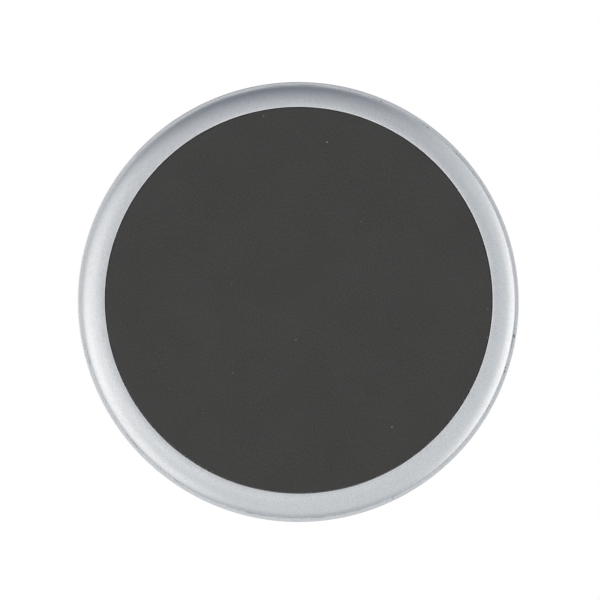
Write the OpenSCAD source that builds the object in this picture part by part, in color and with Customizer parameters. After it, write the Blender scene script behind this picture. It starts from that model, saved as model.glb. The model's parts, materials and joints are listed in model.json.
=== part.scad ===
// Round counter-top magnetic tag detacher.
// A turned case with a dish and a tag cup on top holds a magnet pack over a plate with a flush rubber pad.
// Z = 0 is the counter, and +Z runs up the axis to the rim of the dish.

/* [Case] */
// Outside diameter of the case
case_d = 70; // [64:0.5:90]
// Radius of the rounded top rim
rim_r = 3; // [1:0.25:4]
// Flat rim between the rounded edge and the dish
rim_flat = 5; // [2:0.25:6]
// Depth of the dish below the rim
dish_depth = 3.5; // [1.5:0.25:6]
// Rounding where the rim turns down into the dish
dish_blend_r = 2; // [0.5:0.25:4]
// Rounding of the dish's inner edge, beside the cup
throat_edge_r = 0.4; // [0.2:0.05:0.8]
// Web of the case between the cup's flange and the bottom of the dish
top_web = 8.3; // [7:0.1:14]
// Ledge by which the case stands out past the base plate at the seam
case_ledge = 0.6; // [0.3:0.05:1]
// Rounding of the case's lower edge, outside the ledge
case_edge_r = 0.15; // [0.05:0.05:0.25]

/* [Base plate] */
// Thickness of the plate from its face to the top of its spigot
plate_t = 4.9; // [4.6:0.1:7]
// Thickness of the plate's rim, from its face to the seam
plate_rim_t = 2.8; // [2.7:0.1:3.4]
// Width and height of the plate's rounded 45 degree shoulder
plate_shoulder = 1.8; // [1.2:0.1:2.2]
// Width of the metal ring that shows around the pad
ring_w = 3.9; // [3.8:0.1:5.5]
// Metal between the screw holes and the edge of the spigot
spigot_margin = 1.5; // [1:0.1:2.5]
// Chamfer on the spigot, so that it finds the case
spigot_chamfer = 0.5; // [0.2:0.1:1]

/* [Pad] */
// Thickness of the rubber pad
pad_t = 1.4; // [1:0.1:1.8]
// Height by which the pad stands proud of the plate
pad_proud = 0.3; // [0.1:0.05:0.8]
// Rounding of the pad's lower edge
pad_edge_r = 0.2; // [0.1:0.05:0.5]
// Thickness of the adhesive film
adhesive_t = 0.15; // [0.1:0.05:0.3]
// Width of the pad's rim that the film leaves bare
adhesive_margin = 0.5; // [0.2:0.1:2]

/* [Screws] */
// Number of base screws
screw_count = 4; // [3:1:6]
// Thread diameter of the base screws
screw_d = 3; // [2.5:0.5:4]
// Head diameter of the base screws
screw_head_d = 5.6; // [5:0.1:7.5]
// Straight edge of the screw head
screw_land = 0.3; // [0.1:0.1:0.6]
// Length of the base screws with the head
screw_len = 10; // [8:0.5:14]
// Hexagon socket across its corners
socket_d = 2.3; // [1.5:0.1:2.8]
// Depth of the hexagon socket
socket_depth = 1.2; // [0.6:0.1:1.8]
// Depth of the screw heads below the pad's seat
screw_sink = 0.05; // [0.02:0.01:0.3]
// Metal between the screw heads and the edge of the pad's seat
head_margin = 0.8; // [0.4:0.1:1.5]
// Metal between the tapped holes and the magnet cavity
tap_wall = 1.7; // [1:0.1:3]
// Length of the tapped holes past the screw ends
tap_spare = 2; // [1:0.5:4]

/* [Magnet pack] */
// Thickness of the soft disc under the yoke
cushion_t = 1; // [0.6:0.1:2.5]
// Width of the yoke's floor left bare around the soft disc
cushion_margin = 2; // [0.5:0.5:5]
// Thickness of the yoke's floor
yoke_floor_t = 4; // [3:0.25:7]
// Thickness of the yoke's side wall
yoke_wall = 3.5; // [2.5:0.25:4.5]
// Rounding of the yoke's lower edge
yoke_edge_r = 1; // [0.3:0.1:2]
// Height of the ring segments and their cage
magnet_h = 12; // [9:0.5:20]
// Number of ring segments
segment_count = 8; // [6:2:12]
// Edge radius of the magnets
magnet_edge_r = 0.4; // [0.2:0.1:0.8]
// Diameter of the core magnet and the foot of the pole tip
core_d = 20; // [16:0.5:22]
// Depth of the pole tip's foot inside the cage
pole_sink = 2; // [1:0.25:4]
// Wall of the cage's hub
cage_wall = 1.5; // [1:0.1:2.5]
// Thickness of the cage's ribs
cage_rib = 1.2; // [0.8:0.1:2]
// Thickness of the keeper plate
keeper_t = 1.5; // [1:0.1:3]

/* [Tag cup] */
// Diameter of the cup's bore
bore_d = 22; // [20:0.5:26]
// Width of the cup's collar around the bore
collar_w = 4.9; // [4:0.1:6]
// Rounding of the collar's outer edge
collar_edge_r = 0.5; // [0.2:0.1:0.8]
// Radius of the cup's mouth
mouth_r = 2; // [1:0.1:3]
// Thickness of the cup's flange under the case
cup_flange_t = 2.5; // [2:0.1:4]
// Height of the funnel at the bottom of the bore
funnel_h = 2.9; // [2:0.1:4]
// Rounding between the bore and the funnel
funnel_blend_r = 1.5; // [0.5:0.1:2]
// Diameter of the wear disc
wear_d = 12.4; // [10:0.2:15]
// Thickness of the wear disc
wear_t = 0.5; // [0.3:0.1:1]
// Width of the lip that holds the wear disc down
lip_w = 0.7; // [0.4:0.1:1.2]
// Thickness of that lip
lip_t = 0.7; // [0.5:0.1:1.2]
// Height by which the pole tip stands above the keeper plate
pole_rise = 0.2; // [0.1:0.05:1]

/* [Fits] */
// Radial clearance of pieces that locate each other
fit_gap = 0.1; // [0.05:0.01:0.15]
// Radial clearance of the magnet pack in the case, and of the keeper plate round the pole tip
pack_gap = 0.2; // [0.1:0.05:0.4]
// Radial clearance of the screws in their tapped holes
thread_gap = 0.05; // [0.02:0.01:0.08]
// Clearance over the spigot, so that the plate's rim seats first
spigot_gap = 0.1; // [0.05:0.05:0.3]

/* [Hidden] */
$fn = 128;
overlap = 1;

// Heights, from the counter up
plate_z = pad_proud;
pad_seat_z = pad_t + adhesive_t;
seam_z = plate_z + plate_rim_t;
spigot_z = plate_z + plate_t;
yoke_z = spigot_z + cushion_t;
magnet_z = yoke_z + yoke_floor_t;
magnet_top_z = magnet_z + magnet_h;
core_top_z = magnet_top_z - pole_sink;
keeper_top_z = magnet_top_z + keeper_t;
pole_top_z = keeper_top_z + pole_rise;
wear_top_z = pole_top_z + wear_t;
lip_top_z = wear_top_z + lip_t;
funnel_top_z = lip_top_z + funnel_h;
seat_z = keeper_top_z + cup_flange_t;
dish_z = seat_z + top_web;
rim_z = dish_z + dish_depth;
shoulder_z = spigot_z + spigot_gap;
screw_z = pad_seat_z + screw_sink;

// Radii, from the rim of the case inwards
case_r = case_d / 2;
plate_r = case_r - case_ledge;
pad_seat_r = plate_r - ring_w;
pad_r = pad_seat_r - fit_gap;
screw_circle_r = pad_seat_r - head_margin - screw_head_d / 2;
screw_hole_r = screw_d / 2 + fit_gap;
tap_r = screw_d / 2 + thread_gap;
spigot_r = screw_circle_r + screw_hole_r + spigot_margin;
counterbore_r = spigot_r + fit_gap;
cavity_r = screw_circle_r - tap_r - tap_wall;
yoke_r = cavity_r - pack_gap;
yoke_in_r = yoke_r - yoke_wall;
segment_out_r = yoke_in_r - fit_gap;
cushion_r = yoke_r - cushion_margin;
dish_r = case_r - rim_r - rim_flat;

// Roundings of the plate's shoulder, which take up its slope between them where there is room
slope_length = 0.98 * plate_shoulder * sqrt(2);
edge_reach = min(0.95 * (plate_rim_t - plate_shoulder), slope_length / 2);
face_reach = min(0.95 * (ring_w - plate_shoulder), slope_length - edge_reach);
plate_edge_r = edge_reach / tan(22.5);
plate_face_r = face_reach / tan(22.5);

// Radii, from the axis outwards
core_r = core_d / 2;
hub_in_r = core_r + fit_gap;
hub_r = hub_in_r + cage_wall;
segment_in_r = hub_r + fit_gap;
keeper_in_r = core_r + pack_gap;
wear_r = wear_d / 2;
pocket_r = wear_r + fit_gap;
lip_r = wear_r - lip_w;
tip_r = wear_r - fit_gap;
bore_r = bore_d / 2;
collar_r = bore_r + collar_w;
throat_r = collar_r + fit_gap;
segment_step = 360 / segment_count;
rib_slot = cage_rib + 2 * fit_gap;

// Region between a corner p of an outline, with neighbours a and b, and the arc of radius r that rounds it
module corner_sliver(p, a, b, r) {
    u = (a - p) / norm(a - p);
    v = (b - p) / norm(b - p);
    half = acos(u * v) / 2;
    reach = r / tan(half);
    centre = p + (u + v) / norm(u + v) * r / sin(half);
    difference() {
        polygon([p, p + u * reach, centre, p + v * reach]);
        translate(centre)
            circle(r);
    }
}

// Solid of revolution. Each point of the outline is [radius, height, rounding]:
// a positive rounding takes an outer corner off, and a negative one fills an inner corner.
module turned(outline) {
    n = len(outline);
    points = [for (p = outline) [p[0], p[1]]];
    rotate_extrude()
        difference() {
            union() {
                polygon(points);
                for (i = [0:n - 1])
                    if (outline[i][2] < 0)
                        corner_sliver(points[i], points[(i + n - 1) % n], points[(i + 1) % n], -outline[i][2]);
            }
            for (i = [0:n - 1])
                if (outline[i][2] > 0)
                    corner_sliver(points[i], points[(i + n - 1) % n], points[(i + 1) % n], outline[i][2]);
        }
}

module disc(r, z, t) {
    translate([0, 0, z])
        cylinder(r = r, h = t);
}

module on_screw_circle() {
    for (i = [0:screw_count - 1])
        rotate([0, 0, (i + 0.5) * 360 / screw_count])
            translate([screw_circle_r, 0, 0])
                children();
}

// Countersunk form with its head down at z = 0, grown by a gap where it is the hole for one
module countersunk(length, gap = 0) {
    head_r = screw_head_d / 2 + gap;
    shank_r = screw_d / 2 + gap;
    cone_top = screw_land + head_r - shank_r;
    rotate_extrude()
        polygon([[0, 0], [head_r, 0], [head_r, screw_land], [shank_r, cone_top], [shank_r, length], [0, length]]);
}

module base_pad() {
    color("#444444")
        turned([[0, 0, 0], [pad_r, 0, pad_edge_r], [pad_r, pad_t, 0], [0, pad_t, 0]]);
}

module pad_adhesive() {
    color("#d8d2b8")
        disc(pad_r - adhesive_margin, pad_t, adhesive_t);
}

module base_plate() {
    color("#c2c6c9")
        difference() {
            turned([
                [0, pad_seat_z, 0],
                [pad_seat_r, pad_seat_z, 0],
                [pad_seat_r, plate_z, 0],
                [plate_r - plate_shoulder, plate_z, plate_face_r],
                [plate_r, plate_z + plate_shoulder, plate_edge_r],
                [plate_r, seam_z, 0],
                [spigot_r, seam_z, 0],
                [spigot_r, spigot_z - spigot_chamfer, 0],
                [spigot_r - spigot_chamfer, spigot_z, 0],
                [0, spigot_z, 0]
            ]);
            on_screw_circle()
                translate([0, 0, screw_z])
                    countersunk(plate_t, fit_gap);
            on_screw_circle()
                disc(screw_head_d / 2 + fit_gap, pad_seat_z - overlap, overlap + screw_sink);
        }
}

module base_screws() {
    color("#8d9094")
        on_screw_circle()
            translate([0, 0, screw_z])
                difference() {
                    countersunk(screw_len);
                    translate([0, 0, -overlap])
                        cylinder(d = socket_d, h = overlap + socket_depth, $fn = 6);
                }
}

module case() {
    color("#c2c6c9")
        difference() {
            turned([
                [case_r, seam_z, case_edge_r],
                [case_r, rim_z, rim_r],
                [dish_r, rim_z, dish_blend_r],
                [throat_r, dish_z, throat_edge_r],
                [throat_r, seat_z, 0],
                [cavity_r, seat_z, 0],
                [cavity_r, shoulder_z, 0],
                [counterbore_r, shoulder_z, 0],
                [counterbore_r, seam_z, 0]
            ]);
            on_screw_circle()
                disc(tap_r, shoulder_z - overlap, overlap + screw_z + screw_len + tap_spare - shoulder_z);
        }
}

module cushion_disc() {
    color("#30343a")
        disc(cushion_r, spigot_z, cushion_t);
}

module yoke_cup() {
    color("#9aa0a6")
        turned([
            [0, yoke_z, 0],
            [yoke_r, yoke_z, yoke_edge_r],
            [yoke_r, magnet_top_z, 0],
            [yoke_in_r, magnet_top_z, 0],
            [yoke_in_r, magnet_z, 0],
            [0, magnet_z, 0]
        ]);
}

module core_magnet() {
    color("#d0d0cc")
        turned([
            [0, magnet_z, 0],
            [core_r, magnet_z, magnet_edge_r],
            [core_r, core_top_z, magnet_edge_r],
            [0, core_top_z, 0]
        ]);
}

module ring_magnet(i) {
    color("#d0d0cc")
        rotate([0, 0, i * segment_step])
            difference() {
                rotate_extrude(angle = segment_step)
                    translate([segment_in_r, magnet_z])
                        square([segment_out_r - segment_in_r, magnet_h]);
                for (side = [0, segment_step])
                    rotate([0, 0, side])
                        translate([0, -rib_slot / 2, magnet_z - overlap])
                            cube([segment_out_r + overlap, rib_slot, magnet_h + 2 * overlap]);
            }
}

module magnet_cage() {
    color("#e8e4d8")
        difference() {
            intersection() {
                disc(segment_out_r, magnet_z, magnet_h);
                union() {
                    disc(hub_r, magnet_z, magnet_h);
                    for (i = [0:segment_count - 1])
                        rotate([0, 0, i * segment_step])
                            translate([0, -cage_rib / 2, magnet_z])
                                cube([segment_out_r + overlap, cage_rib, magnet_h]);
                }
            }
            disc(hub_in_r, magnet_z - overlap, magnet_h + 2 * overlap);
        }
}

module pole_tip() {
    color("#b8b8b4")
        turned([
            [0, core_top_z, 0],
            [core_r, core_top_z, 0],
            [core_r, magnet_top_z, 0],
            [tip_r, keeper_top_z, 0],
            [tip_r, pole_top_z, 0],
            [0, pole_top_z, 0]
        ]);
}

module keeper_plate() {
    color("#c9c9c4")
        difference() {
            disc(yoke_r, magnet_top_z, keeper_t);
            disc(keeper_in_r, magnet_top_z - overlap, keeper_t + 2 * overlap);
        }
}

module wear_disc() {
    color("#cfd2d4")
        disc(wear_r, pole_top_z, wear_t);
}

module cup_insert() {
    color("#1d1e20")
        turned([
            [pocket_r, keeper_top_z, 0],
            [cavity_r - fit_gap, keeper_top_z, 0],
            [cavity_r - fit_gap, seat_z, 0],
            [collar_r, seat_z, 0],
            [collar_r, dish_z, collar_edge_r],
            [bore_r, dish_z, mouth_r],
            [bore_r, funnel_top_z, -funnel_blend_r],
            [lip_r, lip_top_z, 0],
            [lip_r, wear_top_z, 0],
            [pocket_r, wear_top_z, 0]
        ]);
}

base_pad();
pad_adhesive();
base_plate();
base_screws();
case();
cushion_disc();
yoke_cup();
core_magnet();
magnet_cage();
pole_tip();
keeper_plate();
wear_disc();
cup_insert();
for (i = [1:segment_count])
    ring_magnet(i);
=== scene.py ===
"""Looks, light and camera for a counter-top magnetic tag detacher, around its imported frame."""

import json
import math

import bpy
from bpy.props import FloatProperty, FloatVectorProperty, IntProperty, PointerProperty
from bpy.types import Operator, Panel, PropertyGroup
from mathutils import Matrix, Vector


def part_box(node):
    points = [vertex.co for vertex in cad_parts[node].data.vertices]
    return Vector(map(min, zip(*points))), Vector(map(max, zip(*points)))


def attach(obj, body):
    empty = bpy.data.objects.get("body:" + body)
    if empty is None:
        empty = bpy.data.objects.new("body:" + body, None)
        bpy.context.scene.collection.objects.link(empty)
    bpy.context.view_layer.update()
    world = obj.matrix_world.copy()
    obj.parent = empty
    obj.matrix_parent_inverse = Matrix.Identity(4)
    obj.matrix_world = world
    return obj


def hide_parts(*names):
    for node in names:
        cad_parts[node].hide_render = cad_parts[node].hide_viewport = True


bl_info = {
    "name": "Tag Detacher",
    "version": (1, 0, 0),
    "blender": (4, 5, 0),
    "location": "3D View > Sidebar > Detacher",
    "description": "Turns, finishes and lights a round magnetic tag detacher",
    "category": "Object",
}

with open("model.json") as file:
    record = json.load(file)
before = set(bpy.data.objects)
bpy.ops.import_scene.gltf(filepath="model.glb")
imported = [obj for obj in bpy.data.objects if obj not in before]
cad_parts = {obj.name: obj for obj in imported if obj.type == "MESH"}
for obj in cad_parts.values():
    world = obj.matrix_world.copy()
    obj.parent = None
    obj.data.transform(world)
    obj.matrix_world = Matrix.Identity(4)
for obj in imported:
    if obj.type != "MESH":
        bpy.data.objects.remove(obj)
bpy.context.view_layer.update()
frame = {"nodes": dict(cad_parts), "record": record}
BODY = "root"
MM = 0.001

# Turning and drilling
WELD_DISTANCE = 1e-7
DRILL_WELD = 2e-6
SHARP_ANGLE = math.radians(35)
FACE_WEIGHT = 100
LATHE_RADIUS = 0.02
LEAST_FACETS = 3
HOLE_STEPS = 48
CUT_OVERRUN = 1 * MM

# The plate's 45 degree shoulder: how far a rounding of radius one reaches from its corner, and
# the most of the slope, and of the flats beside it, that its two roundings take up
ROUNDING_REACH = math.tan(math.radians(22.5))
SLOPE_SHARE = 0.98
FLAT_SHARE = 0.95

# Places of the colour sockets on a Mix node, whose names repeat
MIX_COLOUR_A = 6
MIX_COLOUR_B = 7
MIX_COLOUR_RESULT = 2

# Spans that hold most values of a fine noise and of a soft one
NOISE_SPAN = (0.3, 0.7)
SOFT_NOISE_SPAN = (0.35, 0.65)

# Scratches lie where a stretched noise is near its middle: their directions, how near to it one
# starts and is full, and the values of another noise over which their patches come in
SCRATCH_ANGLES = (0.3, 1.4, 2.5)
NOISE_MIDDLE = 0.5
SCRATCH_EDGE = 0.012
SCRATCH_CORE = 0.004
SCRATCH_PATCHES = (0.5, 0.62)

# Strength of the marks on the finishes
GRAIN_TONE = 0.92
CLOUD_TONE = 0.08
NICK_DIRT = 0.6
NICK_DEPTH = 1.5
# Width of the painted highlight on the ring's inner edge
EDGE_HIGHLIGHT_WIDTH = 2.5  # in edge breaks
SCRATCH_SHOW = 0.5
SCRATCH_POLISH = 0.08
# Roughening where the seam's painted shade and the nicks' dirt lie
SEAM_AND_NICK_ROUGHNESS = 0.3
MOTTLE_TONE = 0.35
DUST_SHOW = 0.35
RUB_SHOW = 0.8
RUB_ROUGHNESS = 0.2
WEAR_STEEL_SHADE = 0.82
INNER_METAL_SHADE = 0.86
INNER_SOLID_SHADE = 0.8
ROUGHNESS_SWING = 0.06

INNER_SOLIDS = (
    # material slot, finish, roughness, size of the grain
    ("adhesive_film", "glue_film", 0.4, 0.5 * MM),
    ("cushion_rubber", "soft_rubber", 0.8, 0.3 * MM),
    ("cage_nylon", "moulded_nylon", 0.5, 0.8 * MM),
)
INNER_METALS = (
    # material slot, finish, least and most roughness, pitch of the turning marks
    ("zinc_steel", "zinc_plate", 0.30, 0.42, 0.2 * MM),
    ("nickel_magnet", "nickel_plate", 0.16, 0.26, 0.4 * MM),
    ("stainless_steel", "ground_stainless", 0.24, 0.36, 0.12 * MM),
)

# Floor, lamps, and the cards and flags that only reflections show
WHITE = (1.0, 1.0, 1.0)
FLOOR_COLOUR = (0.82, 0.82, 0.82)
FLOOR_GAP = 0.05 * MM
FLOOR_FLAT = 0.7
FLOOR_SWEEP = 1.2
FLOOR_RINGS = 24
FLOOR_STEPS = 96
LAMPS = (
    # name, place, width, height, radiance
    ("key_light", (-0.35, -0.55, 0.9), 0.9, 0.9, 2.0),
    ("under_fill", (0.0, 0.0, -1.0), 0.8, 0.8, 1.6),
)
CARD_DISTANCE = 0.6
CARD_TINT = (1.0, 0.90, 0.84)
FLAG_TINT = (1.0, 0.98, 0.91)
CARDS = (
    # name, compass angle, angle up from straight down, width, height, light added or taken away
    ("left_card", 6, 50, 0.95, 1.9, 0.51),
    ("left_high_card", -30, 92, 1.0, 0.9, 0.68),
    ("right_card", 186, 112, 1.1, 1.2, 0.85),
    ("far_flag", 86, 80, 1.3, 1.0, -0.62),
    ("far_low_flag", 80, 27, 1.0, 0.75, -0.36),
    ("far_high_flag", 78, 114, 1.4, 0.7, -0.62),
    ("near_flag", -96, 118, 0.9, 0.5, -0.34),
    ("ceiling_flag", 120, 165, 1.0, 1.0, -0.4),
)

# Camera: which way it stands off the axis, and how far to the right and down it aims
CAMERA_LEAN = (0.2, -0.98, 0.0)
AIM_SHIFT = 0.162 * MM
SENSOR_WIDTH = 36.0
CLIP_START = 0.01


def node_radius(node):
    """Outside radius of a round CAD node that stands on the axis."""
    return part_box(node)[1].x


def node_bottom(node):
    """Height of a CAD node's underside."""
    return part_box(node)[0].z


def node_top(node):
    """Height of a CAD node's top."""
    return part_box(node)[1].z


def mount(name):
    """The record's row for a mount."""
    return next(m for m in frame["record"]["mounts"] if m["name"] == name)


def length(name, description, default):
    """A length that a user can change."""
    return FloatProperty(
        name=name, description=description, default=default, min=0.0, unit="LENGTH", precision=5
    )


def count(name, description, default, least):
    """A whole number that a user can change."""
    return IntProperty(name=name, description=description, default=default, min=least)


def colour(name, description, default):
    """A colour that a user can change."""
    return FloatVectorProperty(
        name=name, description=description, default=default, min=0.0, max=1.0, subtype="COLOR"
    )


class DetacherSizes(PropertyGroup):
    """Sizes of the turned pieces that show."""

    case_radius: length("Case radius", "Outside radius of the case", node_radius("case"))
    rim_height: length("Rim height", "Height of the case's rim above the counter", node_top("case"))
    seam_height: length("Seam height", "Height of the seam under the case", node_bottom("case"))
    rim_rounding: length("Rim rounding", "Radius of the rounded top rim", 3 * MM)
    rim_flat: length("Rim flat", "Flat rim between the rounding and the dish", 5 * MM)
    dish_blend: length("Dish blend", "Rounding where the rim turns into the dish", 2 * MM)
    throat_edge: length("Throat edge", "Rounding of the dish's inner edge", 0.4 * MM)
    case_edge: length("Case edge", "Rounding of the case's lower edge", 0.15 * MM)
    tap_radius: length("Tap radius", "Radius of the case's tapped holes", 1.55 * MM)
    tap_end: length("Tap end", "Height of the tapped holes' ends", 13.6 * MM)
    plate_radius: length(
        "Plate radius", "Outside radius of the base plate", node_radius("base_plate")
    )
    plate_face: length("Plate face", "Height of the base plate's face", node_bottom("base_plate"))
    plate_shoulder: length(
        "Plate shoulder", "Width and height of the plate's rounded shoulder", 1.8 * MM
    )
    ring_width: length("Ring width", "Width of the metal ring around the pad", 3.9 * MM)
    spigot_radius: length("Spigot radius", "Radius of the plate's spigot inside the case", 30 * MM)
    spigot_height: length("Spigot height", "Height of the spigot's top", node_top("base_plate"))
    spigot_chamfer: length("Spigot chamfer", "Chamfer on the spigot's edge", 0.5 * MM)
    screw_circle: length("Screw circle", "Radius of the circle of base screws", 26.9 * MM)
    screw_count: count("Screw count", "Number of base screws", 4, 1)
    head_radius: length("Head radius", "Radius of the screw heads' pockets", 2.9 * MM)
    head_land: length("Head land", "Straight edge of the screw heads", 0.35 * MM)
    shank_radius: length("Shank radius", "Radius of the screw holes", 1.6 * MM)
    pad_radius: length("Pad radius", "Radius of the rubber pad", node_radius("base_pad"))
    pad_thickness: length("Pad thickness", "Thickness of the rubber pad", node_top("base_pad"))
    pad_edge: length("Pad edge", "Rounding of the pad's lower edge", 0.2 * MM)
    pad_seat: length("Pad seat", "Height of the pad's seat in the plate", node_top("pad_adhesive"))
    collar_radius: length("Collar radius", "Outside radius of the cup's collar", 15.9 * MM)
    collar_height: length("Collar height", "Height of the cup's collar", node_top("cup_insert"))
    collar_edge: length("Collar edge", "Rounding of the collar's outer edge", 0.5 * MM)
    cup_flange: length("Cup flange", "Radius of the cup's flange", node_radius("cup_insert"))
    cup_flange_thickness: length("Flange thickness", "Thickness of the cup's flange", 2.5 * MM)
    bore_radius: length(
        "Bore radius", "Radius of the cup's bore", mount("tag_socket")["dims"]["r_mm"] * MM
    )
    mouth_rounding: length("Mouth rounding", "Radius of the cup's mouth", 2 * MM)
    funnel_rise: length("Funnel rise", "Height of the funnel under the bore", 2.9 * MM)
    funnel_blend: length("Funnel blend", "Rounding between the bore and the funnel", 1.5 * MM)
    lip_width: length("Lip width", "Width of the lip over the wear disc", 0.7 * MM)
    lip_thickness: length("Lip thickness", "Thickness of the lip over the wear disc", 0.7 * MM)
    wear_radius: length("Wear disc radius", "Radius of the wear disc", node_radius("wear_disc"))
    fit_gap: length("Fit gap", "Clearance between pieces that locate each other", 0.1 * MM)
    edge_break: length("Edge break", "Rounding of every small edge", 0.1 * MM)
    facet: length("Facet", "Length of the faces on a rounding", 0.25 * MM)
    turn_steps: count("Turn steps", "Faces round each piece", 256, 32)


class DetacherColours(PropertyGroup):
    """Colours of the finishes."""

    aluminium: colour("Aluminium", "Bead-blasted, clear anodised metal", (0.610, 0.638, 0.660))
    aluminium_shade: colour("Aluminium shade", "Darker grain of the metal", (0.475, 0.502, 0.526))
    # Colour of the painted shade along the seam, and of the dirt in the nicks
    grime: colour("Grime", "Dark dirt in the seam and in nicks", (0.060, 0.058, 0.055))
    rubber: colour("Rubber", "Charcoal of the base pad", (0.0530, 0.0530, 0.0520))
    rubber_shade: colour(
        "Rubber shade", "Darker mottling of the base pad", (0.0370, 0.0370, 0.0360)
    )
    dust: colour("Dust", "Specks on the pad", (0.40, 0.39, 0.37))
    acetal: colour("Acetal", "Black of the tag cup", (0.012, 0.012, 0.013))
    acetal_scuff: colour(
        "Acetal scuff", "Grey of the rubbed mouth of the cup", (0.055, 0.055, 0.057)
    )
    steel: colour("Steel", "Bright stainless wear disc", (0.62, 0.62, 0.615))
    # Colour of bright scratches, and of the painted highlight on the ring's inner edge
    steel_scratch: colour("Steel scratch", "Bright scratches in bare metal", (0.80, 0.80, 0.79))


class DetacherStudio(PropertyGroup):
    """Camera and light."""

    camera_distance: length("Camera distance", "From the lens to the pad", 0.4)
    camera_tilt: FloatProperty(
        name="Camera tilt",
        description="Angle off the axis",
        default=math.radians(4.5),
        subtype="ANGLE",
    )
    camera_lens: FloatProperty(
        name="Lens", description="Focal length in millimetres", default=152.5, unit="CAMERA"
    )
    ambient: FloatProperty(
        name="Ambient", description="Strength of the white surroundings", default=0.65, min=0.0
    )


def rgba(value):
    """A colour with full opacity."""
    return (*value, 1.0)


def darker(base, share):
    """A colour with only a share of its light."""
    return tuple(share * part for part in base)


class Nodes:
    """Adds nodes to a tree by type, with their inputs set from values or linked from sockets."""

    def __init__(self, tree):
        self.tree = tree

    def feed(self, socket, value):
        if isinstance(value, bpy.types.NodeSocket):
            self.tree.links.new(value, socket)
        else:
            socket.default_value = value

    def fill(self, node, **inputs):
        """Feeds a node's inputs by name, with _ for each space."""
        for name, value in inputs.items():
            self.feed(node.inputs[name.replace("_", " ")], value)

    def add(self, kind, options=None, **inputs):
        node = self.tree.nodes.new(kind)
        for name, value in (options or {}).items():
            setattr(node, name, value)
        self.fill(node, **inputs)
        return node

    def output(self, kind, options=None, **inputs):
        """Adds a node and gives its first output."""
        return self.add(kind, options, **inputs).outputs[0]

    def math(self, operation, a, b=0.0, clamp=False):
        node = self.add("ShaderNodeMath", {"operation": operation, "use_clamp": clamp})
        self.feed(node.inputs[0], a)
        self.feed(node.inputs[1], b)
        return node.outputs[0]

    def times(self, a, b):
        return self.math("MULTIPLY", a, b)

    def hypot(self, a, b):
        squares = self.math("ADD", self.math("POWER", a, 2), self.math("POWER", b, 2))
        return self.math("SQRT", squares)

    def mix(self, factor, a, b):
        """Blends two colours, each a plain one or a socket."""
        node = self.add("ShaderNodeMix", {"data_type": "RGBA"}, Factor=factor)
        for place, value in ((MIX_COLOUR_A, a), (MIX_COLOUR_B, b)):
            plain = not isinstance(value, bpy.types.NodeSocket)
            self.feed(node.inputs[place], rgba(value) if plain else value)
        return node.outputs[MIX_COLOUR_RESULT]

    def mix_shaders(self, factor, a, b):
        node = self.add("ShaderNodeMixShader", Fac=factor)
        self.feed(node.inputs[1], a)
        self.feed(node.inputs[2], b)
        return node.outputs[0]

    def ramp(self, value, start, end, at_start=0.0, at_end=1.0):
        """Goes from one output to another while a value goes from start to end, and no further."""
        limits = {"From_Min": start, "From_Max": end, "To_Min": at_start, "To_Max": at_end}
        return self.output("ShaderNodeMapRange", Value=value, **limits)

    def between(self, value, low, high, soft):
        """One between two limits and zero outside them, with soft edges."""
        rise = self.ramp(value, low - soft, low)
        return self.times(rise, self.ramp(value, high + soft, high))

    def noise(self, vector, size, detail=2.0, roughness=0.5):
        """Noise whose largest features are about a given size."""
        inputs = {"Scale": 1 / size, "Detail": detail, "Roughness": roughness}
        return self.add("ShaderNodeTexNoise", Vector=vector, **inputs).outputs["Fac"]

    def bump(self, height, strength, distance):
        return self.output("ShaderNodeBump", Strength=strength, Distance=distance, Height=height)

    def dots(self, vector, spacing, radius, share, flat=False):
        """Round specks on an uneven grid, of which only a share of the cells has one."""
        layout = {"voronoi_dimensions": "2D" if flat else "3D"}
        cells = self.add("ShaderNodeTexVoronoi", layout, Vector=vector, Scale=1 / spacing).outputs
        chance = self.add("ShaderNodeSeparateColor", Color=cells["Color"]).outputs
        size = self.times(chance[1], radius / spacing)
        inside = self.math("LESS_THAN", cells["Distance"], size)
        return self.times(inside, self.math("LESS_THAN", chance[0], share))

    def scratches(self, vector, width, run):
        """Fine straight scratches in three directions, in patches."""
        found = 0.0
        for angle in SCRATCH_ANGLES:
            stretched = self.output(
                "ShaderNodeMapping",
                Vector=vector,
                Rotation=(0.0, 0.0, angle),
                Scale=(1 / run, 1 / width, 1 / run),
            )
            streak = self.noise(stretched, size=1.0, detail=1.0)
            off_line = self.math("ABSOLUTE", self.math("SUBTRACT", streak, NOISE_MIDDLE))
            found = self.math("MAXIMUM", found, self.ramp(off_line, SCRATCH_EDGE, SCRATCH_CORE))
        return self.times(found, self.ramp(self.noise(vector, run), *SCRATCH_PATCHES))


def new_material(name):
    """A node material: itself, its nodes, its shader and its object coordinates."""
    material = bpy.data.materials.new(name)
    material.use_nodes = True
    nodes = Nodes(material.node_tree)
    shader = material.node_tree.nodes["Principled BSDF"]
    place = nodes.add("ShaderNodeTexCoord").outputs["Object"]
    return material, nodes, shader, place


def polar(nodes, place):
    """Radius from the axis, and height, of the shaded point."""
    split = nodes.add("ShaderNodeSeparateXYZ", Vector=place).outputs
    return nodes.hypot(split[0], split[1]), split[2]


def turning_marks(nodes, place, pitch):
    """Noise that changes only with radius and height, as a lathe tool leaves it."""
    radius, height = polar(nodes, place)
    track = nodes.output("ShaderNodeCombineXYZ", X=radius, Y=height)
    return nodes.noise(track, pitch, detail=3.0)


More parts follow.
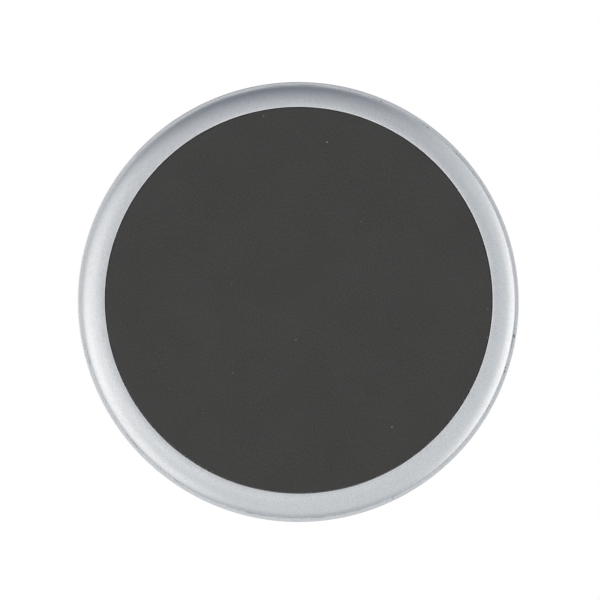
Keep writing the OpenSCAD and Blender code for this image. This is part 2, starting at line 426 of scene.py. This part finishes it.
def blasted_aluminium():
    """Bead-blasted aluminium with painted shade along the seam, patchy like grime, nicked at the
    seam with dirt in the nicks, a painted highlight on the ring's inner edge by the pad, and
    scratches on top.
    """
    sizes = bpy.context.scene.detacher_sizes
    colours = bpy.context.scene.detacher_colours
    material, nodes, shader, place = new_material("blasted_aluminium")
    radius, height = polar(nodes, place)

    grain = nodes.noise(place, size=0.22 * MM, detail=3.0, roughness=0.65)
    cloud = nodes.noise(place, size=8 * MM, detail=3.0)
    grain_tone = nodes.ramp(grain, *NOISE_SPAN, at_end=GRAIN_TONE)
    cloud_tone = nodes.ramp(cloud, *SOFT_NOISE_SPAN, at_end=CLOUD_TONE)
    tone = nodes.math("ADD", grain_tone, cloud_tone)
    body = nodes.mix(tone, colours.aluminium_shade, colours.aluminium)

    across = nodes.math("SUBTRACT", radius, sizes.plate_radius)
    along = nodes.math("SUBTRACT", height, sizes.seam_height)
    from_seam = nodes.hypot(across, along)
    patch = nodes.noise(place, size=7 * MM, detail=5.0, roughness=0.65)
    # Painted shade: a dark line along the seam between plate and case, patchy like grime
    seam = nodes.ramp(from_seam, start=0.25 * MM, end=0.04 * MM)
    seam_shade = nodes.times(seam, nodes.ramp(patch, start=0.5, end=0.72, at_end=0.7))
    low_edge = nodes.ramp(from_seam, start=0.55 * MM, end=0.35 * MM)
    knocked = nodes.times(low_edge, nodes.ramp(patch, start=0.50, end=0.58))
    specks = nodes.dots(place, spacing=0.8 * MM, radius=0.26 * MM, share=0.6)
    nicks = nodes.times(specks, knocked)
    # Painted seam shade together with the dirt in the nicks
    seam_shade_and_nick_dirt = nodes.math("MAXIMUM", seam_shade, nodes.times(nicks, NICK_DIRT))
    body = nodes.mix(seam_shade_and_nick_dirt, body, colours.grime)

    # Painted highlight: a bright band on the ring's inner edge round the pad, patchy like bare worn
    # metal
    edge_highlight_end = sizes.pad_radius + EDGE_HIGHLIGHT_WIDTH * sizes.edge_break
    edge_highlight_band = nodes.between(radius, sizes.pad_radius, edge_highlight_end, soft=0.05 * MM)
    edge_highlight_band = nodes.times(edge_highlight_band, nodes.math("LESS_THAN", height, sizes.pad_seat))
    edge_highlight = nodes.times(edge_highlight_band, nodes.ramp(patch, start=0.35, end=0.6, at_start=0.1, at_end=0.7))
    body = nodes.mix(edge_highlight, body, colours.steel_scratch)

    dish_end = sizes.case_radius - sizes.rim_rounding
    in_dish = nodes.between(radius, sizes.collar_radius, dish_end, soft=1 * MM)
    on_top = nodes.math("GREATER_THAN", height, sizes.collar_height - 1 * MM)
    marks = nodes.scratches(place, width=0.35 * MM, run=9 * MM)
    marks = nodes.times(marks, nodes.times(in_dish, on_top))
    body = nodes.mix(nodes.times(marks, SCRATCH_SHOW), body, colours.steel_scratch)

    rough = nodes.ramp(grain, *NOISE_SPAN, at_start=0.42, at_end=0.32)
    rough = nodes.math("SUBTRACT", rough, nodes.times(marks, SCRATCH_POLISH))
    depth = nodes.math("SUBTRACT", grain, nodes.times(nicks, NICK_DEPTH))
    nodes.fill(
        shader,
        Base_Color=body,
        Metallic=1.0,
        Roughness=nodes.math("ADD", rough, nodes.times(seam_shade_and_nick_dirt, SEAM_AND_NICK_ROUGHNESS)),
        Normal=nodes.bump(depth, strength=0.25, distance=0.03 * MM),
    )
    return material


def charcoal_rubber():
    """Matt charcoal rubber with faint mottling, a fine grain and a little dust."""
    colours = bpy.context.scene.detacher_colours
    material, nodes, shader, place = new_material("charcoal_rubber")
    mottle = nodes.noise(place, size=11 * MM, detail=4.0, roughness=0.6)
    grain = nodes.noise(place, size=0.32 * MM)
    uneven = nodes.math("ADD", nodes.times(mottle, MOTTLE_TONE), grain)
    tone = nodes.ramp(uneven, start=0.485, end=0.865)
    body = nodes.mix(tone, colours.rubber_shade, colours.rubber)
    dust = nodes.dots(place, spacing=5 * MM, radius=0.14 * MM, share=0.14, flat=True)
    nodes.fill(
        shader,
        Base_Color=nodes.mix(nodes.times(dust, DUST_SHOW), body, colours.dust),
        Roughness=nodes.ramp(grain, *NOISE_SPAN, at_start=0.74, at_end=0.88),
        Specular_IOR_Level=0.3,
        Normal=nodes.bump(grain, strength=0.35, distance=0.05 * MM),
    )
    return material


def turned_acetal():
    """Black acetal with the lathe's fine rings and a mouth that tags have rubbed."""
    sizes = bpy.context.scene.detacher_sizes
    colours = bpy.context.scene.detacher_colours
    material, nodes, shader, place = new_material("turned_acetal")
    radius, height = polar(nodes, place)
    rings = turning_marks(nodes, place, pitch=0.16 * MM)
    mouth_start = sizes.bore_radius - 1 * MM
    mouth_end = sizes.bore_radius + sizes.mouth_rounding
    mouth = nodes.between(radius, mouth_start, mouth_end, soft=0.8 * MM)
    rub_start, rub_end = sizes.collar_height - 5 * MM, sizes.collar_height - 1 * MM
    near_top = nodes.ramp(height, rub_start, rub_end)
    rubbed = nodes.times(nodes.scratches(place, width=0.3 * MM, run=6 * MM), RUB_SHOW)
    smear = nodes.noise(place, size=2.5 * MM, detail=4.0)
    haze = nodes.ramp(smear, start=0.45, end=0.75, at_end=0.35)
    wear = nodes.math("ADD", rubbed, haze, clamp=True)
    wear = nodes.times(wear, nodes.times(mouth, near_top))
    rough = nodes.ramp(rings, *NOISE_SPAN, at_start=0.30, at_end=0.44)
    nodes.fill(
        shader,
        Base_Color=nodes.mix(wear, colours.acetal, colours.acetal_scuff),
        Roughness=nodes.math("ADD", rough, nodes.times(wear, RUB_ROUGHNESS)),
        Normal=nodes.bump(rings, strength=0.15, distance=0.02 * MM),
    )
    return material


def wear_steel():
    """Stainless disc with circular brushing, scratched by the pins of tags."""
    colours = bpy.context.scene.detacher_colours
    material, nodes, shader, place = new_material("wear_steel")
    rings = turning_marks(nodes, place, pitch=0.09 * MM)
    marks = nodes.scratches(place, width=0.2 * MM, run=5 * MM)
    shade = darker(colours.steel, WEAR_STEEL_SHADE)
    body = nodes.mix(nodes.ramp(rings, *NOISE_SPAN), shade, colours.steel)
    depth = nodes.math("SUBTRACT", rings, marks)
    nodes.fill(
        shader,
        Base_Color=nodes.mix(marks, body, colours.steel_scratch),
        Metallic=1.0,
        Roughness=nodes.ramp(rings, *NOISE_SPAN, at_start=0.20, at_end=0.34),
        Normal=nodes.bump(depth, strength=0.15, distance=0.01 * MM),
    )
    return material


def finish(make):
    """The material that a function makes, made once."""
    return bpy.data.materials.get(make.__name__) or make()


def inner_metal(name, base, smooth, rough, pitch):
    """Turned or ground bare metal with fine rings."""
    material, nodes, shader, place = new_material(name)
    marks = turning_marks(nodes, place, pitch)
    stain = nodes.noise(place, size=6 * MM, detail=3.0)
    tone = nodes.ramp(stain, *SOFT_NOISE_SPAN)
    nodes.fill(
        shader,
        Base_Color=nodes.mix(tone, darker(base, INNER_METAL_SHADE), base),
        Metallic=1.0,
        Roughness=nodes.ramp(marks, *NOISE_SPAN, at_start=smooth, at_end=rough),
        Normal=nodes.bump(marks, strength=0.12, distance=0.01 * MM),
    )
    return material


def inner_solid(name, base, roughness, grain_size):
    """Moulded or cast material with a fine grain and a little unevenness of colour."""
    material, nodes, shader, place = new_material(name)
    grain = nodes.noise(place, grain_size, detail=3.0)
    tone = nodes.ramp(grain, *SOFT_NOISE_SPAN)
    smooth, rough = roughness - ROUGHNESS_SWING, roughness + ROUGHNESS_SWING
    nodes.fill(
        shader,
        Base_Color=nodes.mix(tone, darker(base, INNER_SOLID_SHADE), base),
        Roughness=nodes.ramp(grain, *NOISE_SPAN, at_start=smooth, at_end=rough),
        Normal=nodes.bump(grain, strength=0.2, distance=0.03 * MM),
    )
    return material


def lathe(nodes, given, outline, steps):
    """Rounds an outline of (radius, height, rounding) input names and turns it about the axis."""
    index = nodes.output("GeometryNodeInputIndex")
    corners = nodes.add("GeometryNodeIndexSwitch", {"data_type": "VECTOR"}, Index=index)
    roundings = nodes.add("GeometryNodeIndexSwitch", {"data_type": "FLOAT"}, Index=index)
    for switch in (corners, roundings):
        while len(switch.index_switch_items) < len(outline):
            switch.index_switch_items.new()
    for i, (radius, height, rounding) in enumerate(outline, start=1):
        across = nodes.math("SUBTRACT", given[radius], LATHE_RADIUS)
        down = nodes.times(given[height], -1.0)
        nodes.feed(corners.inputs[i], nodes.output("ShaderNodeCombineXYZ", X=across, Y=down))
        nodes.feed(roundings.inputs[i], given[rounding])
    corner, reach = corners.outputs[0], roundings.outputs[0]
    line = nodes.output("GeometryNodeMeshLine", Count=len(outline))
    placed = nodes.output("GeometryNodeSetPosition", Geometry=line, Position=corner)
    curve = nodes.output("GeometryNodeMeshToCurve", Mesh=placed)
    closed = nodes.output("GeometryNodeSetSplineCyclic", Geometry=curve, Cyclic=True)
    facets = nodes.math("ADD", nodes.math("DIVIDE", reach, given["Facet"]), LEAST_FACETS)
    profile = nodes.output(
        "GeometryNodeFilletCurve", {"mode": "POLY"}, Curve=closed, Radius=reach, Count=facets
    )
    path = nodes.output("GeometryNodeCurvePrimitiveCircle", Resolution=steps, Radius=LATHE_RADIUS)
    swept = nodes.output("GeometryNodeCurveToMesh", Curve=path, Profile_Curve=profile)
    outward = nodes.output("GeometryNodeFlipFaces", Mesh=swept)
    return nodes.output("GeometryNodeMergeByDistance", Geometry=outward, Distance=WELD_DISTANCE)


def drill(nodes, given, body, hole):
    """Cuts a turned hole out of a body, repeated round the screw circle."""
    screws = given["Screw count"]
    ring = nodes.output("GeometryNodeMeshCircle", Vertices=screws, Radius=given["Screw circle"])
    half_step = nodes.math("DIVIDE", math.pi, screws)
    spin = nodes.output("ShaderNodeCombineXYZ", Z=half_step)
    places = nodes.output("GeometryNodeTransform", Geometry=ring, Rotation=spin)
    cutter = lathe(nodes, given, hole, HOLE_STEPS)
    cutters = nodes.output("GeometryNodeInstanceOnPoints", Points=places, Instance=cutter)
    cutters = nodes.output("GeometryNodeRealizeInstances", Geometry=cutters)
    cut = {"operation": "DIFFERENCE", "solver": "EXACT"}
    drilled = nodes.output("GeometryNodeMeshBoolean", cut, Mesh_1=body, Mesh_2=cutters)
    return nodes.output("GeometryNodeMergeByDistance", Geometry=drilled, Distance=DRILL_WELD)


def turned_tree(name, outline, hole):
    """Node tree of a turned piece, drilled round the screw circle where a hole is given."""
    tree = bpy.data.node_groups.new(name, "GeometryNodeTree")
    face = tree.interface
    face.new_socket("Geometry", in_out="OUTPUT", socket_type="NodeSocketGeometry")
    words = dict.fromkeys(word for corner in outline + hole for word in corner)
    for word in [*words, "Facet", "Screw circle"]:
        socket = face.new_socket(word, in_out="INPUT", socket_type="NodeSocketFloat")
        socket.subtype = "DISTANCE"
    for word in ("Turn steps", "Screw count"):
        face.new_socket(word, in_out="INPUT", socket_type="NodeSocketInt")
    face.new_socket("Finish", in_out="INPUT", socket_type="NodeSocketMaterial")
    nodes = Nodes(tree)
    given = nodes.add("NodeGroupInput").outputs
    body = lathe(nodes, given, outline, given["Turn steps"])
    if hole:
        body = drill(nodes, given, body, hole)
    real = nodes.output("GeometryNodeRealizeInstances", Geometry=body)
    finished = nodes.output("GeometryNodeSetMaterial", Geometry=real, Material=given["Finish"])
    nodes.add("NodeGroupOutput", Geometry=finished)
    return tree


def set_input(modifier, name, value):
    """Sets a tree's input by the socket's identifier."""
    items = modifier.node_group.interface.items_tree
    socket = next(s for s in items if s.name == name and s.in_out == "INPUT")
    modifier[socket.identifier] = value


def new_object(name, data):
    """A new object in the scene, with its data."""
    thing = bpy.data.objects.new(name, data)
    bpy.context.scene.collection.objects.link(thing)
    return thing


def plain_mesh(piece):
    """Turns what a piece's modifiers make into its own mesh."""
    graph = bpy.context.evaluated_depsgraph_get()
    mesh = bpy.data.meshes.new_from_object(piece.evaluated_get(graph))
    piece.modifiers.clear()
    piece.data = mesh


def turn(name, outline, inputs, material, hole=()):
    """Turns an outline into a plain mesh piece with smooth roundings."""
    sizes = bpy.context.scene.detacher_sizes
    piece = new_object(name, bpy.data.meshes.new(name))
    modifier = piece.modifiers.new("Turned", "NODES")
    modifier.node_group = turned_tree(name, outline, list(hole))
    shared = {
        "Facet": sizes.facet,
        "Screw circle": sizes.screw_circle,
        "Turn steps": sizes.turn_steps,
        "Screw count": sizes.screw_count,
        "Finish": material,
    }
    for word, value in {**inputs, **shared}.items():
        set_input(modifier, word, value)
    plain_mesh(piece)
    piece.data.shade_smooth()
    piece.data.set_sharp_from_angle(angle=SHARP_ANGLE)
    even = piece.modifiers.new("Even shading", "WEIGHTED_NORMAL")
    even.keep_sharp = True
    even.weight = FACE_WEIGHT
    plain_mesh(piece)
    return piece


def settle(piece, node):
    """Hands a finished piece to the frame in place of its CAD node."""
    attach(piece, BODY)
    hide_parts(node)


class DETACHER_OT_base_pad(Operator):
    """Turn the rubber pad that the detacher stands on"""

    bl_idname = "detacher.base_pad"
    bl_label = "Base Pad"

    def execute(self, context):
        sizes = context.scene.detacher_sizes
        inputs = {
            "Axis": 0.0,
            "Pad radius": sizes.pad_radius,
            "Counter": 0.0,
            "Pad thickness": sizes.pad_thickness,
            "Pad edge": sizes.pad_edge,
            "Sharp": 0.0,
        }
        outline = [
            ("Axis", "Counter", "Sharp"),
            ("Pad radius", "Counter", "Pad edge"),
            ("Pad radius", "Pad thickness", "Sharp"),
            ("Axis", "Pad thickness", "Sharp"),
        ]
        piece = turn("rubber_pad", outline, inputs, finish(charcoal_rubber))
        settle(piece, "base_pad")
        return {"FINISHED"}


class DETACHER_OT_base_plate(Operator):
    """Turn the base plate, with the ring that shows round the pad, and drill it for the screws"""

    bl_idname = "detacher.base_plate"
    bl_label = "Base Plate"

    def execute(self, context):
        sizes = context.scene.detacher_sizes
        slope = SLOPE_SHARE * math.sqrt(2) * sizes.plate_shoulder
        side_flat = sizes.seam_height - sizes.plate_face - sizes.plate_shoulder
        face_flat = sizes.ring_width - sizes.plate_shoulder
        edge_reach = min(FLAT_SHARE * side_flat, slope / 2)
        face_reach = min(FLAT_SHARE * face_flat, slope - edge_reach)
        head_top = sizes.pad_seat + sizes.head_land
        inputs = {
            "Axis": 0.0,
            "Pad seat radius": sizes.plate_radius - sizes.ring_width,
            "Pad seat": sizes.pad_seat,
            "Face": sizes.plate_face,
            "Shoulder radius": sizes.plate_radius - sizes.plate_shoulder,
            "Shoulder height": sizes.plate_face + sizes.plate_shoulder,
            "Face rounding": face_reach / ROUNDING_REACH,
            "Edge rounding": edge_reach / ROUNDING_REACH,
            "Plate radius": sizes.plate_radius,
            "Seam": sizes.seam_height,
            "Spigot radius": sizes.spigot_radius,
            "Spigot side": sizes.spigot_height - sizes.spigot_chamfer,
            "Spigot face": sizes.spigot_radius - sizes.spigot_chamfer,
            "Spigot height": sizes.spigot_height,
            "Edge break": sizes.edge_break,
            "Sharp": 0.0,
            "Head radius": sizes.head_radius,
            "Head start": sizes.pad_seat - CUT_OVERRUN,
            "Head top": head_top,
            "Shank radius": sizes.shank_radius,
            "Shank start": head_top + sizes.head_radius - sizes.shank_radius,
            "Shank end": sizes.spigot_height + CUT_OVERRUN,
        }
        outline = [
            ("Axis", "Pad seat", "Sharp"),
            ("Pad seat radius", "Pad seat", "Sharp"),
            ("Pad seat radius", "Face", "Edge break"),
            ("Shoulder radius", "Face", "Face rounding"),
            ("Plate radius", "Shoulder height", "Edge rounding"),
            ("Plate radius", "Seam", "Sharp"),
            ("Spigot radius", "Seam", "Sharp"),
            ("Spigot radius", "Spigot side", "Sharp"),
            ("Spigot face", "Spigot height", "Sharp"),
            ("Axis", "Spigot height", "Sharp"),
        ]
        hole = [
            ("Axis", "Head start", "Sharp"),
            ("Head radius", "Head start", "Sharp"),
            ("Head radius", "Head top", "Sharp"),
            ("Shank radius", "Shank start", "Sharp"),
            ("Shank radius", "Shank end", "Sharp"),
            ("Axis", "Shank end", "Sharp"),
        ]
        piece = turn("ring_plate", outline, inputs, finish(blasted_aluminium), hole)
        settle(piece, "base_plate")
        return {"FINISHED"}


class DETACHER_OT_case(Operator):
    """Turn the case with its dish, its magnet cavity and its tapped holes"""

    bl_idname = "detacher.case"
    bl_label = "Case"

    def execute(self, context):
        sizes = context.scene.detacher_sizes
        shoulder = sizes.spigot_height + sizes.fit_gap
        inputs = {
            "Axis": 0.0,
            "Case radius": sizes.case_radius,
            "Seam": sizes.seam_height,
            "Rim": sizes.rim_height,
            "Dish radius": sizes.case_radius - sizes.rim_rounding - sizes.rim_flat,
            "Throat radius": sizes.collar_radius + sizes.fit_gap,
            "Dish floor": sizes.collar_height,
            "Cup seat": node_bottom("cup_insert") + sizes.cup_flange_thickness,
            "Cavity radius": sizes.cup_flange + sizes.fit_gap,
            "Shoulder": shoulder,
            "Counterbore radius": sizes.spigot_radius + sizes.fit_gap,
            "Case edge": sizes.case_edge,
            "Rim rounding": sizes.rim_rounding,
            "Dish blend": sizes.dish_blend,
            "Throat edge": sizes.throat_edge,
            "Edge break": sizes.edge_break,
            "Sharp": 0.0,
            "Tap radius": sizes.tap_radius,
            "Tap start": shoulder - CUT_OVERRUN,
            "Tap end": sizes.tap_end,
        }
        outline = [
            ("Case radius", "Seam", "Case edge"),
            ("Case radius", "Rim", "Rim rounding"),
            ("Dish radius", "Rim", "Dish blend"),
            ("Throat radius", "Dish floor", "Throat edge"),
            ("Throat radius", "Cup seat", "Sharp"),
            ("Cavity radius", "Cup seat", "Sharp"),
            ("Cavity radius", "Shoulder", "Edge break"),
            ("Counterbore radius", "Shoulder", "Sharp"),
            ("Counterbore radius", "Seam", "Edge break"),
        ]
        hole = [
            ("Axis", "Tap start", "Sharp"),
            ("Tap radius", "Tap start", "Sharp"),
            ("Tap radius", "Tap end", "Sharp"),
            ("Axis", "Tap end", "Sharp"),
        ]
        piece = turn("turned_case", outline, inputs, finish(blasted_aluminium), hole)
        settle(piece, "case")
        return {"FINISHED"}


class DETACHER_OT_tag_cup(Operator):
    """Turn the funnel cup and the wear disc at its bottom"""

    bl_idname = "detacher.tag_cup"
    bl_label = "Tag Cup"

    def execute(self, context):
        sizes = context.scene.detacher_sizes
        wear_top = node_top("wear_disc")
        lip_top = wear_top + sizes.lip_thickness
        cup_inputs = {
            "Pocket radius": sizes.wear_radius + sizes.fit_gap,
            "Cup foot": node_bottom("cup_insert"),
            "Flange radius": sizes.cup_flange,
            "Flange top": node_bottom("cup_insert") + sizes.cup_flange_thickness,
            "Collar radius": sizes.collar_radius,
            "Collar height": sizes.collar_height,
            "Bore radius": sizes.bore_radius,
            "Funnel top": lip_top + sizes.funnel_rise,
            "Lip radius": sizes.wear_radius - sizes.lip_width,
            "Lip top": lip_top,
            "Lip underside": wear_top,
            "Collar edge": sizes.collar_edge,
            "Mouth rounding": sizes.mouth_rounding,
            "Funnel blend": sizes.funnel_blend,
            "Edge break": sizes.edge_break,
            "Sharp": 0.0,
        }
        cup_outline = [
            ("Pocket radius", "Cup foot", "Sharp"),
            ("Flange radius", "Cup foot", "Edge break"),
            ("Flange radius", "Flange top", "Edge break"),
            ("Collar radius", "Flange top", "Sharp"),
            ("Collar radius", "Collar height", "Collar edge"),
            ("Bore radius", "Collar height", "Mouth rounding"),
            ("Bore radius", "Funnel top", "Funnel blend"),
            ("Lip radius", "Lip top", "Edge break"),
            ("Lip radius", "Lip underside", "Sharp"),
            ("Pocket radius", "Lip underside", "Sharp"),
        ]
        cup = turn("funnel_cup", cup_outline, cup_inputs, finish(turned_acetal))
        settle(cup, "cup_insert")
        disc_inputs = {
            "Axis": 0.0,
            "Disc radius": sizes.wear_radius,
            "Disc foot": node_bottom("wear_disc"),
            "Disc top": wear_top,
            "Edge break": sizes.edge_break,
            "Sharp": 0.0,
        }
        disc_outline = [
            ("Axis", "Disc foot", "Sharp"),
            ("Disc radius", "Disc foot", "Edge break"),
            ("Disc radius", "Disc top", "Edge break"),
            ("Axis", "Disc top", "Sharp"),
        ]
        disc = turn("wear_face", disc_outline, disc_inputs, finish(wear_steel))
        settle(disc, "wear_disc")
        return {"FINISHED"}


class DETACHER_OT_inner_parts(Operator):
    """Give each piece inside the case its own finish"""

    bl_idname = "detacher.inner_parts"
    bl_label = "Inner Parts"

    def execute(self, context):
        bases = {m["slot"]: m["base_color"][:3] for m in frame["record"]["materials"]}
        finishes = {}
        for slot, name, roughness, grain_size in INNER_SOLIDS:
            finishes[slot] = inner_solid(name, bases[slot], roughness, grain_size)
        for slot, name, smooth, rough, pitch in INNER_METALS:
            finishes[slot] = inner_metal(name, bases[slot], smooth, rough, pitch)
        for part in frame["record"]["subparts"]:
            if part["material_slot"] in finishes:
                node = frame["nodes"][part["node"]]
                node.data.materials.clear()
                node.data.materials.append(finishes[part["material_slot"]])
        return {"FINISHED"}


def placed_round(compass, off_axis, distance):
    """Point at a compass angle round the axis and an angle up from straight down."""
    compass, off_axis = math.radians(compass), math.radians(off_axis)
    flat = math.sin(off_axis)
    way = Vector((flat * math.cos(compass), flat * math.sin(compass), -math.cos(off_axis)))
    return distance * way


def facing(place):
    """Rotation that turns a panel at a place towards the object."""
    return (-place).to_track_quat("-Z", "Y").to_euler()


def hide_from(thing, *rays):
    """Keeps a stage object out of sight of the named kinds of ray."""
    for ray in rays:
        setattr(thing, "visible_" + ray, False)


def soft_light(name, place, width, height, radiance):
    """A rectangular light, turned to the object, that no reflection shows."""
    lamp = bpy.data.lights.new(name, "AREA")
    lamp.shape = "RECTANGLE"
    lamp.size = width
    lamp.size_y = height
    lamp.energy = radiance * math.pi * width * height
    light = new_object(name, lamp)
    light.location = place
    light.rotation_euler = facing(place)
    hide_from(light, "camera", "glossy")


def bare_nodes(owner):
    """The emptied node tree of a stage material or world."""
    owner.use_nodes = True
    owner.node_tree.nodes.clear()
    return Nodes(owner.node_tree)


def card_material(name, change):
    """Adds light to what shows through it or takes some away, most in the middle."""
    material = bpy.data.materials.new(name)
    nodes = bare_nodes(material)
    spread = nodes.add("ShaderNodeTexCoord").outputs["Generated"]
    middle = 1.0
    for side in nodes.add("ShaderNodeSeparateXYZ", Vector=spread).outputs[:2]:
        off_centre = nodes.math("ABSOLUTE", nodes.ramp(side, 0.0, 1.0, at_start=-1.0, at_end=1.0))
        fall = nodes.math("SUBTRACT", 1.0, nodes.math("POWER", off_centre, 2))
        middle = nodes.times(middle, fall)
    dimmed = [1.0 + min(change, 0.0) * share for share in FLAG_TINT]
    clear = nodes.output("ShaderNodeBsdfTransparent", Color=nodes.mix(middle, WHITE, dimmed))
    added = nodes.times(middle, max(change, 0.0))
    glow = nodes.output("ShaderNodeEmission", Color=rgba(CARD_TINT), Strength=added)
    both = nodes.add("ShaderNodeAddShader")
    nodes.feed(both.inputs[0], clear)
    nodes.feed(both.inputs[1], glow)
    nodes.add("ShaderNodeOutputMaterial", Surface=both.outputs[0])
    return material


def reflected_card(name, place, width, height, change):
    """A bright card or a dark flag, turned to the object, that only reflections show."""
    x, y = width / 2, height / 2
    mesh = bpy.data.meshes.new(name)
    mesh.from_pydata([(-x, -y, 0), (x, -y, 0), (x, y, 0), (-x, y, 0)], [], [(3, 2, 1, 0)])
    mesh.materials.append(card_material(name, change))
    card = new_object(name, mesh)
    card.location = place
    card.rotation_euler = facing(place)
    hide_from(card, "camera", "diffuse", "shadow")


def floor_material():
    """Pale floor from above, clear from below and for what is seen through it."""
    material = bpy.data.materials.new("pale_floor")
    nodes = bare_nodes(material)
    above = nodes.output("ShaderNodeBsdfDiffuse", Color=rgba(FLOOR_COLOUR))
    below = nodes.output("ShaderNodeBsdfTransparent")
    back = nodes.add("ShaderNodeNewGeometry").outputs["Backfacing"]
    through = nodes.add("ShaderNodeLightPath").outputs["Transparent Depth"]
    unseen = nodes.math("MAXIMUM", back, nodes.math("MINIMUM", through, 1.0))
    surface = nodes.mix_shaders(unseen, above, below)
    nodes.add("ShaderNodeOutputMaterial", Surface=surface)
    return material


def make_floor():
    """A floor a hair under the pad, which turns up into a bowl of backdrop far from the object."""
    rings = [(FLOOR_FLAT, 0.0)]
    for i in range(1, FLOOR_RINGS + 1):
        rise = 0.5 * math.pi * i / FLOOR_RINGS
        radius = FLOOR_FLAT + FLOOR_SWEEP * math.sin(rise)
        rings.append((radius, FLOOR_SWEEP * (1 - math.cos(rise))))
    verts = [(0.0, 0.0, -FLOOR_GAP)]
    for radius, height in rings:
        for k in range(FLOOR_STEPS):
            angle = math.tau * k / FLOOR_STEPS
            verts.append((radius * math.cos(angle), radius * math.sin(angle), height - FLOOR_GAP))
    faces = []
    for k in range(FLOOR_STEPS):
        after = (k + 1) % FLOOR_STEPS
        faces.append((0, 1 + k, 1 + after))
        for j in range(len(rings) - 1):
            inner = 1 + j * FLOOR_STEPS
            outer = inner + FLOOR_STEPS
            faces.append((inner + k, outer + k, outer + after, inner + after))
    mesh = bpy.data.meshes.new("floor")
    mesh.from_pydata(verts, [], faces)
    mesh.shade_smooth()
    mesh.materials.append(floor_material())
    floor = new_object("floor", mesh)
    hide_from(floor, "diffuse", "glossy", "transmission", "shadow")


def make_world(ambient):
    """White surroundings to look at and in reflections, and softer ones for the light."""
    world = bpy.data.worlds.new("studio")
    bpy.context.scene.world = world
    nodes = bare_nodes(world)
    path = nodes.add("ShaderNodeLightPath").outputs
    seen = nodes.math("MAXIMUM", path["Is Camera Ray"], path["Is Glossy Ray"])
    seen = nodes.math("MAXIMUM", seen, path["Is Transmission Ray"])
    white = nodes.output("ShaderNodeBackground", Color=rgba(WHITE), Strength=1.0)
    soft = nodes.output("ShaderNodeBackground", Color=rgba(WHITE), Strength=ambient)
    surface = nodes.mix_shaders(seen, soft, white)
    nodes.add("ShaderNodeOutputWorld", Surface=surface)


def make_camera(studio):
    """The camera looks up at the pad from below, a little off the axis."""
    tilt = studio.camera_tilt
    lean = Vector(CAMERA_LEAN).normalized()
    look = math.cos(tilt) * Vector((0.0, 0.0, 1.0)) - math.sin(tilt) * lean
    right = look.cross(Vector((0.0, 1.0, 0.0))).normalized()
    up = right.cross(look)
    aim = AIM_SHIFT * (right - up)
    data = bpy.data.cameras.new("photo_view")
    data.lens = studio.camera_lens
    data.sensor_width = SENSOR_WIDTH
    data.clip_start = CLIP_START
    camera = new_object("photo_view", data)
    place = aim - studio.camera_distance * look
    turned = Matrix((right, up, -look)).transposed().to_4x4()
    camera.matrix_world = Matrix.Translation(place) @ turned
    bpy.context.scene.camera = camera


class DETACHER_OT_stage(Operator):
    """Set up the floor, the light and the camera"""

    bl_idname = "detacher.stage"
    bl_label = "Stage"

    def execute(self, context):
        studio = context.scene.detacher_studio
        make_floor()
        make_world(studio.ambient)
        for name, place, width, height, radiance in LAMPS:
            soft_light(name, Vector(place), width, height, radiance)
        for name, compass, off_axis, width, height, change in CARDS:
            place = placed_round(compass, off_axis, CARD_DISTANCE)
            reflected_card(name, place, width, height, change)
        make_camera(studio)
        context.scene.view_settings.view_transform = "Standard"
        return {"FINISHED"}


class DETACHER_PT_panel(Panel):
    """Sidebar list of the detacher's pieces"""

    bl_label = "Tag Detacher"
    bl_idname = "DETACHER_PT_panel"
    bl_space_type = "VIEW_3D"
    bl_region_type = "UI"
    bl_category = "Detacher"

    def draw(self, context):
        for operator in OPERATORS:
            self.layout.operator(operator.bl_idname)


OPERATORS = (
    DETACHER_OT_base_pad,
    DETACHER_OT_base_plate,
    DETACHER_OT_case,
    DETACHER_OT_tag_cup,
    DETACHER_OT_inner_parts,
    DETACHER_OT_stage,
)
GROUPS = {
    "detacher_sizes": DetacherSizes,
    "detacher_colours": DetacherColours,
    "detacher_studio": DetacherStudio,
}


def register():
    for name, group in GROUPS.items():
        bpy.utils.register_class(group)
        setattr(bpy.types.Scene, name, PointerProperty(type=group))
    for operator in OPERATORS:
        bpy.utils.register_class(operator)
    bpy.utils.register_class(DETACHER_PT_panel)


def unregister():
    bpy.utils.unregister_class(DETACHER_PT_panel)
    for operator in reversed(OPERATORS):
        bpy.utils.unregister_class(operator)
    for name, group in GROUPS.items():
        delattr(bpy.types.Scene, name)
        bpy.utils.unregister_class(group)


def main():
    register()
    bpy.ops.detacher.base_pad()
    bpy.ops.detacher.base_plate()
    bpy.ops.detacher.case()
    bpy.ops.detacher.tag_cup()
    bpy.ops.detacher.inner_parts()
    bpy.ops.detacher.stage()


if __name__ == "__main__":
    main()
